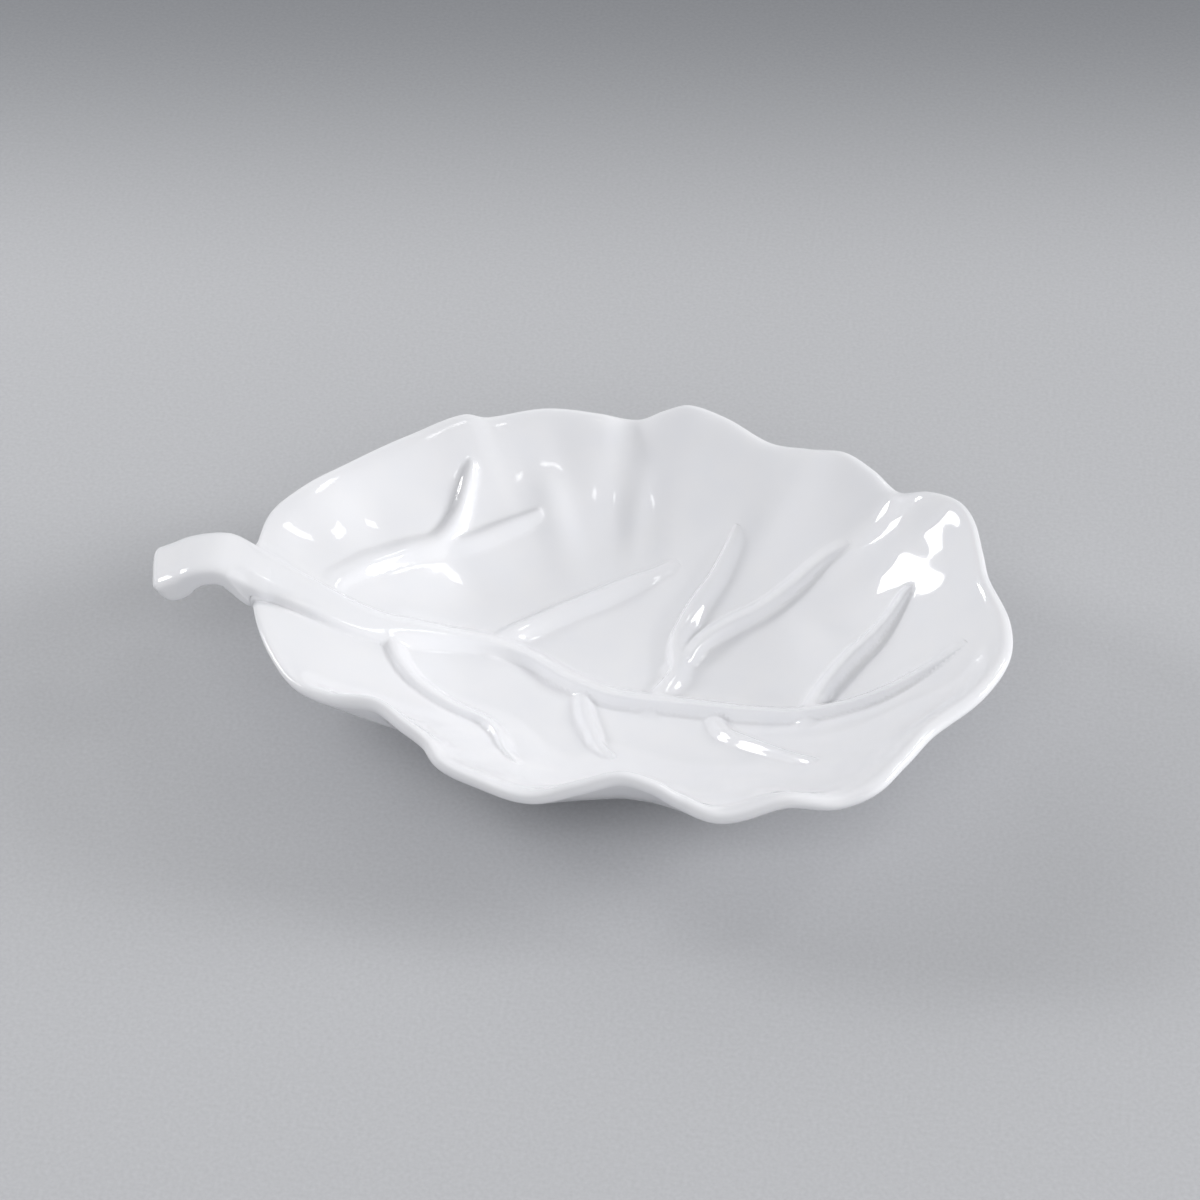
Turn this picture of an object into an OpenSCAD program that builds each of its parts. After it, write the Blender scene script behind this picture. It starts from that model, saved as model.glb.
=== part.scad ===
// Leaf dish: a shallow bowl shaped like a leaf, with a wavy rim, a strap-like stalk as its handle,
// a raised midrib and side veins inside, and an oval foot ring underneath. Millimetres, +Z up.
// The leaf points along +X and stands on Z = 0. Its pieces are worked out about the middle of the
// leaf's oval, and seated() then brings the middle of the whole dish over the origin.

/* [Leaf] */
// Length of the leaf without its stalk
leaf_l = 216; // [180:1:250]
// Width of the leaf
leaf_w = 160; // [135:1:185]
// Mean height of the rim above the table
rim_h = 46; // [38:1:54]
// Thickness of the blade's wall
wall_t = 4.2; // [3.4:0.1:5]
// Height of the soft swelling under each rib
swell_h = 1.6; // [0:0.1:2.4]
// Reach of that swelling to each side of a rib
swell_w = 10; // [7:0.5:14]

/* [Foot ring] */
// Length of the foot ring over all
foot_l = 80; // [64:1:90]
// Width of the foot ring over all
foot_w = 58; // [48:1:66]
// Thickness of the foot ring's wall
foot_t = 5; // [3.5:0.5:8]
// Height of the foot ring
foot_h = 4; // [3:0.5:6]

/* [Stalk] */
// Width of the stalk
stalk_w = 17.5; // [14:0.5:21]
// Thickness of the stalk
stalk_t = 6; // [5:0.2:7]
// How far the stalk stands out past the leaf
stalk_reach = 32; // [24:1:42]
// How far the stalk's arch stands above the mean rim
stalk_rise = 3.7; // [3:0.1:8]
// How far the stalk's end curls down below its arch
stalk_drop = 9.2; // [6:0.1:12]
// Length of the stalk that is laid over the leaf's base
lap_l = 6.5; // [5:0.5:9]
// Thickness of the stalk where it meets the midrib
lap_t = 4; // [3.4:0.1:5]

/* [Ribs] */
// Width of the midrib at its middle
midrib_w = 9.5; // [7:0.5:12]
// Height of the midrib at its middle
midrib_h = 3.2; // [2.4:0.1:4.2]
// Width of a side vein at its root
vein_w = 9; // [6:0.5:11]
// Height of a side vein at its root
vein_h = 2.8; // [2:0.1:3.6]
// Thickness of a rib's thin edges
edge_t = 0.3; // [0.2:0.05:0.5]
// Layer of slip between the blade and a piece laid on it
slip_gap = 0.25; // [0.2:0.05:0.4]

/* [Hidden] */

glaze = [0.93, 0.93, 0.94];
biscuit = [0.88, 0.86, 0.80];

half_l = leaf_l / 2;
half_w = leaf_w / 2;
floor_z = foot_h + wall_t;

// The crests and dips of the rim: the angle round the oval from the leaf's tip in degrees, how far
// out the rim runs as a share of the oval, and how high it stands as a share of rim_h
rim_shares = [
    [0, 1.00, 1.035], [12, 0.955, 1.055], [20, 0.965, 1.09], [33, 1.01, 1.125], [40, 0.98, 1.085],
    [47, 0.98, 0.94], [52, 0.975, 1.01], [58, 0.97, 1.06], [65, 0.97, 0.985], [72, 0.975, 0.94],
    [80, 1.00, 1.03], [86, 1.005, 1.08], [90, 1.00, 1.02], [94, 0.995, 0.94], [100, 0.97, 1.01],
    [109, 0.98, 1.055], [119, 0.975, 1.045], [123, 0.985, 1.09], [133, 0.985, 1.04],
    [146, 0.99, 1.01], [158, 1.00, 1.035], [167, 1.02, 1.01], [175, 1.01, 0.95], [180, 1.00, 0.85],
    [188, 0.995, 0.84], [194, 0.995, 0.94], [207, 1.00, 0.945], [216, 1.005, 0.955],
    [223, 0.98, 1.00], [230.5, 0.915, 1.055], [238, 0.925, 1.025], [243, 0.94, 0.98],
    [247, 0.985, 0.94], [253, 1.00, 0.91], [261, 1.01, 0.885], [268, 0.975, 0.975],
    [274.5, 0.94, 1.035], [280, 0.955, 0.99], [284, 0.99, 0.91], [289, 1.055, 0.87],
    [298, 1.07, 0.975], [305, 1.10, 0.92], [310, 1.10, 0.945], [318, 1.04, 0.955],
    [328, 0.99, 0.965], [341, 1.01, 0.99], [351, 1.02, 1.02]
];

// The level floor's share of the leaf, and the powers that bend the wall and the ramp at the stalk
floor_share = 0.15;
wall_power = 2.4;
ramp_power = 1.5;
// Where the ramp lies round the oval and how wide it fans, in degrees
ramp_angle = 186;
ramp_fan = 38;
// The rim's bends in and out and up and down die away towards the floor with these powers
out_power = 3;
wave_power = 6;

// Each rib's route, as shares of half the leaf's length and half its width
midrib_shares = [
    [-0.87, -0.075], [-0.80, -0.09], [-0.72, -0.09], [-0.63, -0.08], [-0.51, -0.02], [-0.38, 0.03],
    [-0.27, 0.02], [-0.17, -0.05], [-0.06, -0.12], [0.05, -0.14], [0.21, -0.15], [0.38, -0.18],
    [0.50, -0.20], [0.62, -0.18], [0.72, -0.14], [0.81, -0.09], [0.90, -0.05]
];
back_vein_1_shares = [
    [-0.83, -0.03], [-0.80, 0.09], [-0.77, 0.17], [-0.72, 0.27], [-0.64, 0.38], [-0.57, 0.47],
    [-0.53, 0.57], [-0.52, 0.66], [-0.51, 0.74]
];
back_vein_1_branch_shares = [[-0.545, 0.485], [-0.47, 0.53], [-0.41, 0.59], [-0.35, 0.65], [-0.31, 0.68]];
back_vein_2_shares = [
    [-0.375, 0.06], [-0.32, 0.19], [-0.23, 0.29], [-0.15, 0.36], [-0.07, 0.44], [0.00, 0.50],
    [0.09, 0.57]
];
back_vein_3_shares = [
    [0.08, -0.11], [0.11, 0.02], [0.13, 0.15], [0.13, 0.26], [0.16, 0.40], [0.21, 0.51],
    [0.24, 0.61], [0.26, 0.69]
];
back_vein_3_branch_shares = [
    [0.15, 0.17], [0.19, 0.25], [0.24, 0.32], [0.33, 0.36], [0.38, 0.41], [0.42, 0.47],
    [0.47, 0.52], [0.55, 0.57]
];
back_vein_4_shares = [[0.50, -0.17], [0.55, -0.03], [0.61, 0.08], [0.66, 0.15], [0.70, 0.22], [0.74, 0.34]];
front_vein_1_shares = [
    [-0.63, -0.11], [-0.60, -0.21], [-0.55, -0.29], [-0.49, -0.33], [-0.42, -0.36],
    [-0.35, -0.38], [-0.30, -0.45], [-0.27, -0.55], [-0.22, -0.64]
];
front_vein_2_shares = [[-0.11, -0.12], [-0.09, -0.22], [-0.06, -0.31], [-0.04, -0.38], [0.01, -0.47]];
front_vein_3_shares = [[0.25, -0.18], [0.29, -0.26], [0.35, -0.32], [0.41, -0.38], [0.48, -0.46], [0.55, -0.53]];

// How the ribs narrow and sink from root to end: the share of the way along, then of the full size
midrib_width_shares = [
    [0, stalk_w / midrib_w], [0.12, 1.6], [0.25, 1.2], [0.4, 1], [0.6, 0.85], [0.9, 0.7], [1, 0.35]
];
midrib_height_shares = [[0, lap_t / midrib_h], [0.2, 1], [0.6, 0.95], [0.9, 0.75], [1, 0.3]];
vein_taper_shares = [[0, 1], [0.3, 1], [0.7, 0.8], [0.92, 0.6], [1, 0.3]];
// The share of the midrib's length over which the stalk's square section turns into the rib's
square_share = 0.2;
// How sharply a rib's crown falls to its edges, and how square the stalk's section is
crown_power = 1.5;
square_power = 4;

// The stalk's route over its top, from its free end to the rim: shares of its reach and its drop
stalk_shares = [
    [1, 1], [0.89, 0.79], [0.79, 0.59], [0.65, 0.30], [0.46, 0.08], [0.27, 0], [0.10, 0.17],
    [-0.03, 0.50]
];
// The stalk's place across the leaf, as a share of half the leaf's width
stalk_side_share = -0.06;
stalk_y = half_w * stalk_side_share;
// The stalk's end is rounded: shares of its thickness back from the end, and of its full section
stalk_end_shares = [[0, 0.80], [0.08, 0.91], [0.24, 0.98]];

// How finely the shapes are cut up
sides = 120;
inner_rings = 16;
outer_rings = 7;
lip_steps = 6;
foot_sides = 72;
rib_steps = 2;
rib_across = 6;
stalk_steps = 3;
stalk_sides = 20;
// The inner rings crowd towards the rim by this power
crowd_power = 0.8;
// The strip of the blade, next to its rim, on which the way across the rim is felt
rim_strip_share = 0.02;
// The pad that carries the foot ring is this much wider than it, then runs out over a fillet
pad_rim_share = 0.015;
pad_fillet_share = 0.07;
pad_share = max(foot_l / leaf_l, foot_w / leaf_w) + pad_rim_share;
// Step for feeling the slope of a surface, and the run over which one rib climbs onto another
feel = wall_t / 20;
climb = vein_w / 4;
solve_turns = 6;

function unit(v) = v / norm(v);

function mix(a, b, t) = a + (b - a) * t;

// A cubic from p to q that leaves with the slope m and arrives with the slope n
function cubic(p, q, m, n, t) =
    (2 * t^3 - 3 * t^2 + 1) * p + (t^3 - 2 * t^2 + t) * m + (3 * t^2 - 2 * t^3) * q + (t^3 - t^2) * n;

// A smooth curve through points, with so many steps from each to the next
function smooth(points, steps) = let(last = len(points) - 1) [
    for (i = [0 : last - 1], j = [0 : steps - 1])
        let(a = points[max(i - 1, 0)], b = points[i], c = points[i + 1], d = points[min(i + 2, last)])
            cubic(b, c, (c - a) / 2, (d - b) / 2, j / steps),
    points[last]
];

// The rim's stations once round, with one more before and two more after
rim_loop = concat(
    [rim_shares[len(rim_shares) - 1] - [360, 0, 0]],
    rim_shares,
    [for (i = [0, 1]) rim_shares[i] + [360, 0, 0]]
);

function station(angle, i = 1) = angle < rim_loop[i + 1][0] ? i : station(angle, i + 1);

// The rim at an angle, as a row of rim_shares: a cubic whose slope at a station is that of its neighbours
function rim_at(angle) =
    let(
        a = (angle % 360 + 360) % 360,
        i = station(a),
        span = rim_loop[i + 1][0] - rim_loop[i][0],
        m = (rim_loop[i + 1] - rim_loop[i - 1]) / (rim_loop[i + 1][0] - rim_loop[i - 1][0]) * span,
        n = (rim_loop[i + 2] - rim_loop[i]) / (rim_loop[i + 2][0] - rim_loop[i][0]) * span
    ) cubic(rim_loop[i], rim_loop[i + 1], m, n, (a - rim_loop[i][0]) / span);

// Steep walls all round, and a long ramp where the stalk comes in
function bend(angle) =
    let(off = abs((angle - ramp_angle + 540) % 360 - 180))
        mix(wall_power, ramp_power, exp(-(off / ramp_fan)^2));

// Plan place of a point that lies a share r of the way out from the leaf's middle to its rim
function plan(r, angle) =
    let(out = 1 + (rim_at(angle)[1] - 1) * r^out_power)
        [half_l * r * out * cos(angle), half_w * r * out * sin(angle)];

// The other way about: the share r that gives a plan place, found by trying r again and again
function share_out(n, rim_out, r, turns) =
    turns == 0 ? r : share_out(n, rim_out, n / (1 + (rim_out - 1) * min(r, 1)^out_power), turns - 1);

// Height of the plain bowl over a plan place, and the share of the way out at that place
function bowl(p) =
    let(
        angle = atan2(p[1] / half_w, p[0] / half_l),
        n = norm([p[0] / half_l, p[1] / half_w]),
        rim = rim_at(angle),
        r = share_out(n, rim[1], n, solve_turns),
        rise = max(0, (r - floor_share) / (1 - floor_share))^bend(angle),
        wave = rim_h * (rim[2] - 1) * r^wave_power
    ) [floor_z + (rim_h - floor_z) * rise + wave, r];

function on_bowl(r, angle) = let(p = plan(r, angle)) [p[0], p[1], bowl(p)[0]];

function bowl_normal(p) =
    let(
        dx = bowl([p[0] + feel, p[1]])[0] - bowl([p[0] - feel, p[1]])[0],
        dy = bowl([p[0], p[1] + feel])[0] - bowl([p[0], p[1] - feel])[0]
    ) unit([-dx, -dy, 2 * feel]);

// Distance from a point to a line of points, and the share of the way along the line
function nearest(p, line, i = 0, best = [leaf_l, 0]) =
    i > len(line) - 2 ? best :
    let(
        d = line[i + 1] - line[i],
        t = max(0, min(1, (p - line[i]) * d / (d * d))),
        away = norm(p - line[i] - t * d)
    ) nearest(p, line, i + 1, away < best[0] ? [away, (i + t) / (len(line) - 1)] : best);

function route(shares, steps = rib_steps) =
    smooth([for (s = shares) [s[0] * half_l, s[1] * half_w]], steps);

// A rib: its centre line, its full width and height, and the shares that these take along it
stalk_foot = [-half_l + lap_l, stalk_y];
midrib_rib = [
    concat([stalk_foot + [slip_gap, 0]], route(midrib_shares)),
    midrib_w, midrib_h, midrib_width_shares, midrib_height_shares
];
function vein_rib(shares) = [route(shares), vein_w, vein_h, vein_taper_shares, vein_taper_shares];
back_vein_1_rib = vein_rib(back_vein_1_shares);
back_vein_1_branch_rib = vein_rib(back_vein_1_branch_shares);
back_vein_2_rib = vein_rib(back_vein_2_shares);
back_vein_3_rib = vein_rib(back_vein_3_shares);
back_vein_3_branch_rib = vein_rib(back_vein_3_branch_shares);
back_vein_4_rib = vein_rib(back_vein_4_shares);
front_vein_1_rib = vein_rib(front_vein_1_shares);
front_vein_2_rib = vein_rib(front_vein_2_shares);
front_vein_3_rib = vein_rib(front_vein_3_shares);
all_ribs = [
    midrib_rib, back_vein_1_rib, back_vein_1_branch_rib, back_vein_2_rib, back_vein_3_rib,
    back_vein_3_branch_rib, back_vein_4_rib, front_vein_1_rib, front_vein_2_rib, front_vein_3_rib
];

function rib_width(rib, along) = rib[1] * lookup(along, rib[3]);
function rib_height(rib, along) = rib[2] * lookup(along, rib[4]);

// How far a place is from all the ribs at once: 1 far away, 0 on a rib
function clear_of_ribs(p, i = 0) =
    i == len(all_ribs) ? 1 :
    (1 - exp(-(nearest(p, all_ribs[i][0])[0] / swell_w)^2)) * clear_of_ribs(p, i + 1);

// Height of the blade's upper face: the bowl, and a soft swelling under each rib that dies at the rim
function leaf_z(p) =
    let(b = bowl(p)) b[0] + swell_h * (1 - clear_of_ribs(p)) * max(0, 1 - b[1]^wave_power);

// The last share before the rounded lip begins, which is half a wall short of the rim
function lip_start(angle) =
    let(strip = norm(on_bowl(1, angle) - on_bowl(1 - rim_strip_share, angle)))
        1 - rim_strip_share * wall_t / 2 / strip;

// A point of the lip, which is half a turn of a round rod as thick as the wall
function lip_point(angle, turn) =
    let(
        e = on_bowl(lip_start(angle), angle),
        n = bowl_normal(e),
        s = on_bowl(1, angle) - e,
        across = unit(s - (s * n) * n)
    ) e + (n * (cos(turn) - 1) + across * sin(turn)) * wall_t / 2;

angles = [for (i = [0 : sides - 1]) i * 360 / sides];

// The rings that the blade's skin is strung on: out over the inside, round the lip and back underneath
function inner_ring(i) = [
    for (a = angles) let(p = plan(lip_start(a) * (i / inner_rings)^crowd_power, a)) [p[0], p[1], leaf_z(p)]
];
function lip_ring(j) = [for (a = angles) lip_point(a, 180 * j / lip_steps)];
function outer_ring(i) = [
    for (a = angles)
        let(e = on_bowl(mix(lip_start(a), pad_share + pad_fillet_share, i / outer_rings), a))
            e - bowl_normal(e) * wall_t
];
pad_ring = [for (a = angles) concat(plan(pad_share, a), foot_h)];

blade_rings = concat(
    [for (i = [1 : inner_rings]) inner_ring(i)],
    [for (j = [1 : lip_steps - 1]) lip_ring(j)],
    [for (i = [0 : outer_rings]) outer_ring(i)],
    [pad_ring]
);

// The height of a rib's crown over its bed, from -1 to 1 across it
function crown(u, height, square) =
    let(
        v = min(1, abs(u)),
        strap = (1 - v^square_power)^(1 / square_power),
        bell = max(0, cos(90 * v))^crown_power
    ) edge_t + (height - edge_t) * mix(bell, strap, square);

// How high a rib's bed climbs over the rib that it springs from
function climb_over(p, parent) =
    is_undef(parent) ? 0 :
    let(
        at = nearest(p, parent[0]),
        half = rib_width(parent, at[1]) / 2,
        square = max(0, 1 - at[1] / square_share) * (parent == midrib_rib ? 1 : 0)
    )
        at[0] < half ? slip_gap + crown(at[0] / half, rib_height(parent, at[1]), square) :
        (slip_gap + edge_t) * max(0, 1 - (at[0] - half) / climb);

// One section of a rib: its bed from right to left, then its crown back again
function rib_ring(rib, parent, i, square) =
    let(
        line = rib[0],
        last = len(line) - 1,
        d = unit(line[min(i + 1, last)] - line[max(i - 1, 0)]),
        w = rib_width(rib, i / last),
        h = rib_height(rib, i / last),
        places = [for (k = [0 : rib_across]) let(u = 2 * k / rib_across - 1) [line[i] + [-d[1], d[0]] * u * w / 2, u]],
        beds = [for (q = places) leaf_z(q[0]) + slip_gap],
        climbs = [for (q = places) climb_over(q[0], parent)]
    ) concat(
        [for (k = [0 : rib_across]) [places[k][0][0], places[k][0][1], beds[k] + climbs[k]]],
        [
            for (k = [rib_across : -1 : 0])
                [
                    places[k][0][0], places[k][0][1],
                    beds[k] + max(crown(places[k][1], h, square), climbs[k] + edge_t)
                ]
        ]
    );

function rib_rings(rib, parent) = let(last = len(rib[0]) - 1) [
    for (i = [0 : last])
        rib_ring(rib, parent, i, is_undef(parent) ? max(0, 1 - i / last / square_share) : 0)
];

// The stalk over its top, from its free end to the midrib
stalk_top = smooth(
    concat(
        [
            for (s = stalk_shares)
                [-half_l - stalk_reach * s[0], stalk_y, rim_h + stalk_rise - stalk_drop * s[1]]
        ],
        [concat(stalk_foot, leaf_z(stalk_foot) + slip_gap + lap_t)]
    ),
    stalk_steps
);

// One section of the stalk: a rounded strap hung under its top line. Past the rim it lies on the blade.
function stalk_ring(place, along, lean, size_share, on_leaf) =
    let(up = unit([-along[2] * lean, 0, mix(1, along[0], lean)]), t = mix(lap_t, stalk_t, lean)) [
        for (i = [0 : stalk_sides - 1])
            let(
                a = 360 * (i + 0.5) / stalk_sides,
                c = sign(cos(a)) * abs(cos(a))^(2 / square_power),
                s = sign(sin(a)) * abs(sin(a))^(2 / square_power),
                p = place - up * t / 2 + ([0, 1, 0] * c * stalk_w / 2 + up * s * t / 2) * size_share
            ) on_leaf ? [p[0], p[1], max(p[2], leaf_z(p) + slip_gap)] : p
    ];

stalk_rings = let(last = len(stalk_top) - 1, lap = stalk_steps) concat(
    [
        for (e = stalk_end_shares)
            let(along = unit(stalk_top[1] - stalk_top[0]))
                stalk_ring(stalk_top[0] + along * e[0] * stalk_t, along, 1, e[1], false)
    ],
    [
        for (i = [1 : last])
            let(along = unit(stalk_top[min(i + 1, last)] - stalk_top[i - 1]))
                stalk_ring(stalk_top[i], along, min(1, (last - i) / lap), 1, i > last - lap)
    ]
);

function middle(points, i = 0, sum = [0, 0, 0]) =
    i == len(points) ? sum / len(points) : middle(points, i + 1, sum + points[i]);

// A closed skin over rings of equally many points, with a fan at each end
module skin(rings, first, last) {
    n = len(rings[0]);
    count = len(rings) * n;
    points = concat([for (r = rings, p = r) p], [first, last]);
    walls = [
        for (k = [0 : len(rings) - 2], i = [0 : n - 1])
            let(j = (i + 1) % n, a = k * n + i, b = k * n + j, c = a + n, d = b + n)
                each [[a, b, d], [a, d, c]]
    ];
    fans = [
        for (i = [0 : n - 1])
            let(j = (i + 1) % n)
                each [[count, j, i], [count + 1, count - n + i, count - n + j]]
    ];
    polyhedron(points, concat(walls, fans));
}

module loft(rings) {
    skin(rings, middle(rings[0]), middle(rings[len(rings) - 1]));
}

// The middle of the box round the whole dish, seen from above
blade_points = [for (r = blade_rings, p = r) p];
stalk_points = [for (r = stalk_rings, p = r) p];
dish_x = [min([for (p = stalk_points) p[0]]), max([for (p = blade_points) p[0]])];
dish_y = [min([for (p = blade_points) p[1]]), max([for (p = blade_points) p[1]])];

module seated() {
    translate([-(dish_x[0] + dish_x[1]) / 2, -(dish_y[0] + dish_y[1]) / 2, 0]) children();
}

module oval(length, width) {
    polygon([
        for (i = [0 : foot_sides - 1])
            let(a = 360 * i / foot_sides) [length / 2 * cos(a), width / 2 * sin(a)]
    ]);
}

module blade() {
    color(glaze) seated() skin(blade_rings, [0, 0, leaf_z([0, 0])], [0, 0, foot_h]);
}

module foot_ring() {
    color(biscuit) seated() linear_extrude(foot_h) difference() {
        oval(foot_l, foot_w);
        oval(foot_l - 2 * foot_t, foot_w - 2 * foot_t);
    }
}

module stem_handle() {
    color(glaze) seated() loft(stalk_rings);
}

// A rib that springs from the stalk has no parent. A side vein climbs onto the rib it springs from.
module rib(shape, parent = undef) {
    color(glaze) seated() loft(rib_rings(shape, parent));
}

module midrib() rib(midrib_rib);
module back_vein_1() rib(back_vein_1_rib, midrib_rib);
module back_vein_1_branch() rib(back_vein_1_branch_rib, back_vein_1_rib);
module back_vein_2() rib(back_vein_2_rib, midrib_rib);
module back_vein_3() rib(back_vein_3_rib, midrib_rib);
module back_vein_3_branch() rib(back_vein_3_branch_rib, back_vein_3_rib);
module back_vein_4() rib(back_vein_4_rib, midrib_rib);
module front_vein_1() rib(front_vein_1_rib, midrib_rib);
module front_vein_2() rib(front_vein_2_rib, midrib_rib);
module front_vein_3() rib(front_vein_3_rib, midrib_rib);

blade();
foot_ring();
stem_handle();
midrib();
back_vein_1();
back_vein_1_branch();
back_vein_2();
back_vein_3();
back_vein_3_branch();
back_vein_4();
front_vein_1();
front_vein_2();
front_vein_3();
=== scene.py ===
"""Looks of a leaf shaped serving dish in white glazed porcelain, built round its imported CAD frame.

The shapes are worked out in millimetres about the middle of the leaf's oval, with the leaf's tip
along +X and the table at Z = 0. Seat.place() then turns them to the frame's metres.
"""

import logging
import math
from collections.abc import Sequence
from dataclasses import dataclass, field
from enum import Enum

import bpy
import numpy as np
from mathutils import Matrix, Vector

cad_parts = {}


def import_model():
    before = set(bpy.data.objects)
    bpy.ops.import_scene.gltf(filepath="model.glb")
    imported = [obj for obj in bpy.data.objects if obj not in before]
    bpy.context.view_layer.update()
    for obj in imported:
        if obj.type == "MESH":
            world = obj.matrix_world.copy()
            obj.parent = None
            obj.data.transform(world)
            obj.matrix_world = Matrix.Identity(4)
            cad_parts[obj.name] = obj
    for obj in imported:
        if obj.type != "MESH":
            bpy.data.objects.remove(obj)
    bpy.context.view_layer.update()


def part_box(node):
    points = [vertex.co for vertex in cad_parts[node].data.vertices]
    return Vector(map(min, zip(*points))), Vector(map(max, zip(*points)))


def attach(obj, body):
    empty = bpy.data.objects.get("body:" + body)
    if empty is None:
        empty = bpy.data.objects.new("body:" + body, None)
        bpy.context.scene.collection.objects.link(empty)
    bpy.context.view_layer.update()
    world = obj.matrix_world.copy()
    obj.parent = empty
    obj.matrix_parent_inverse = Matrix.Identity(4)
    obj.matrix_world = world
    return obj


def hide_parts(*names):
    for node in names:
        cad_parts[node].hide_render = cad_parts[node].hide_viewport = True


Array = np.ndarray
Table = tuple[tuple[float, ...], ...]
LOG = logging.getLogger("leaf_dish")
MM = 0.001

# Half the leaf's length and width in millimetres.
HALF_LENGTH = 108.0
HALF_WIDTH = 80.0

# Keeps a divisor off 0.
TINY = 1e-9

# The Mix node's colour inputs and output by number, because it gives their names to others too.
MIX_FIRST = 6
MIX_SECOND = 7
MIX_RESULT = 2

# The rim's crests and dips: the angle round the oval from the tip in degrees, how far out the rim
# runs as a share of the oval, and how high it stands as a share of the mean height.
RIM_SHARES: Table = (
    (0, 1.00, 1.035), (12, 0.955, 1.055), (20, 0.965, 1.09), (33, 1.01, 1.125), (40, 0.98, 1.085),
    (47, 0.98, 0.94), (52, 0.975, 1.01), (58, 0.97, 1.06), (65, 0.97, 0.985), (72, 0.975, 0.94),
    (80, 1.00, 1.03), (86, 1.005, 1.08), (90, 1.00, 1.02), (94, 0.995, 0.94), (100, 0.97, 1.01),
    (109, 0.98, 1.055), (119, 0.975, 1.045), (123, 0.985, 1.09), (133, 0.985, 1.04),
    (146, 0.99, 1.01), (158, 1.00, 1.035), (167, 1.02, 1.01), (175, 1.01, 0.95), (180, 1.00, 0.85),
    (188, 0.995, 0.84), (194, 0.995, 0.94), (207, 1.00, 0.945), (216, 1.005, 0.955),
    (223, 0.98, 1.00), (230.5, 0.915, 1.055), (238, 0.925, 1.025), (243, 0.94, 0.98),
    (247, 0.985, 0.94), (253, 1.00, 0.91), (261, 1.01, 0.885), (268, 0.975, 0.975),
    (274.5, 0.94, 1.035), (280, 0.955, 0.99), (284, 0.99, 0.91), (289, 1.055, 0.87),
    (298, 1.07, 0.975), (305, 1.10, 0.92), (310, 1.10, 0.945), (318, 1.04, 0.955),
    (328, 0.99, 0.965), (341, 1.01, 0.99), (351, 1.02, 1.02),
)

# Each rib's route, as shares of half the leaf's length and half its width. The midrib's starts out
# under the stalk.
MIDRIB_SHARES: Table = (
    (-1.07, -0.06), (-1.00, -0.06), (-0.94, -0.06), (-0.87, -0.075), (-0.80, -0.09),
    (-0.72, -0.09), (-0.63, -0.08), (-0.51, -0.025), (-0.38, 0.02), (-0.27, 0.01),
    (-0.17, -0.06), (-0.06, -0.12), (0.05, -0.14), (0.21, -0.15), (0.38, -0.175), (0.50, -0.19),
    (0.62, -0.175), (0.72, -0.135), (0.815, -0.075), (0.905, -0.005),
)
BACK_VEIN_1_SHARES: Table = (
    (-0.83, -0.06), (-0.80, 0.05), (-0.77, 0.12), (-0.72, 0.22), (-0.64, 0.335), (-0.565, 0.42),
    (-0.525, 0.53), (-0.51, 0.64), (-0.50, 0.73),
)
BACK_VEIN_1_BRANCH_SHARES: Table = (
    (-0.565, 0.42), (-0.49, 0.475), (-0.42, 0.545), (-0.35, 0.61), (-0.30, 0.655),
)
BACK_VEIN_2_SHARES: Table = (
    (-0.375, 0.02), (-0.32, 0.16), (-0.23, 0.28), (-0.15, 0.36), (-0.07, 0.44), (0.00, 0.50),
    (0.09, 0.57),
)
BACK_VEIN_3_SHARES: Table = (
    (0.08, -0.14), (0.11, -0.02), (0.125, 0.06), (0.115, 0.15), (0.115, 0.25), (0.145, 0.39),
    (0.19, 0.51), (0.22, 0.61), (0.24, 0.70),
)
BACK_VEIN_3_BRANCH_SHARES: Table = (
    (0.125, 0.06), (0.165, 0.15), (0.205, 0.23), (0.26, 0.295), (0.33, 0.35), (0.39, 0.415),
    (0.44, 0.475), (0.49, 0.53), (0.56, 0.58),
)
BACK_VEIN_4_SHARES: Table = (
    (0.50, -0.19), (0.55, -0.03), (0.60, 0.08), (0.65, 0.15), (0.69, 0.22), (0.74, 0.34),
)
FRONT_VEIN_1_SHARES: Table = (
    (-0.63, -0.08), (-0.60, -0.21), (-0.55, -0.29), (-0.49, -0.33), (-0.42, -0.36),
    (-0.35, -0.38), (-0.30, -0.45), (-0.27, -0.55), (-0.22, -0.64),
)
FRONT_VEIN_2_SHARES: Table = (
    (-0.11, -0.095), (-0.09, -0.22), (-0.06, -0.31), (-0.04, -0.38), (0.01, -0.47),
)
FRONT_VEIN_3_SHARES: Table = (
    (0.25, -0.155), (0.29, -0.26), (0.35, -0.32), (0.41, -0.38), (0.48, -0.46), (0.55, -0.53),
)

# How ribs narrow and sink from root to end: the share of the way along, then of the full size.
# The last table is for a vein that comes out of the wall low and is highest near its end.
MIDRIB_WIDTH_SHARES: Table = (
    (0, 1.6), (0.11, 1.62), (0.17, 1.667), (0.24, 1.60), (0.33, 1.40), (0.42, 1.20), (0.53, 1.05),
    (0.65, 0.95), (0.9, 0.8), (1, 0.45),
)
MIDRIB_HEIGHT_SHARES: Table = (
    (0, 1.1), (0.16, 1.1), (0.25, 1.05), (0.42, 1.1), (0.62, 1.15), (0.78, 1.15), (0.92, 0.8), (1, 0.0),
)
VEIN_WIDTH_SHARES: Table = ((0, 1.1), (0.15, 1), (0.4, 1), (0.7, 0.85), (0.92, 0.65), (1, 0.4))
VEIN_HEIGHT_SHARES: Table = ((0, 0.5), (0.15, 0.9), (0.4, 1), (0.7, 0.9), (0.92, 0.55), (1, 0.0))
LOW_ROOT_HEIGHT_SHARES: Table = (
    (0, 0.2), (0.2, 0.45), (0.42, 0.6), (0.58, 0.85), (0.75, 1.05), (0.92, 0.85), (1, 0.0),
)

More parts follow.
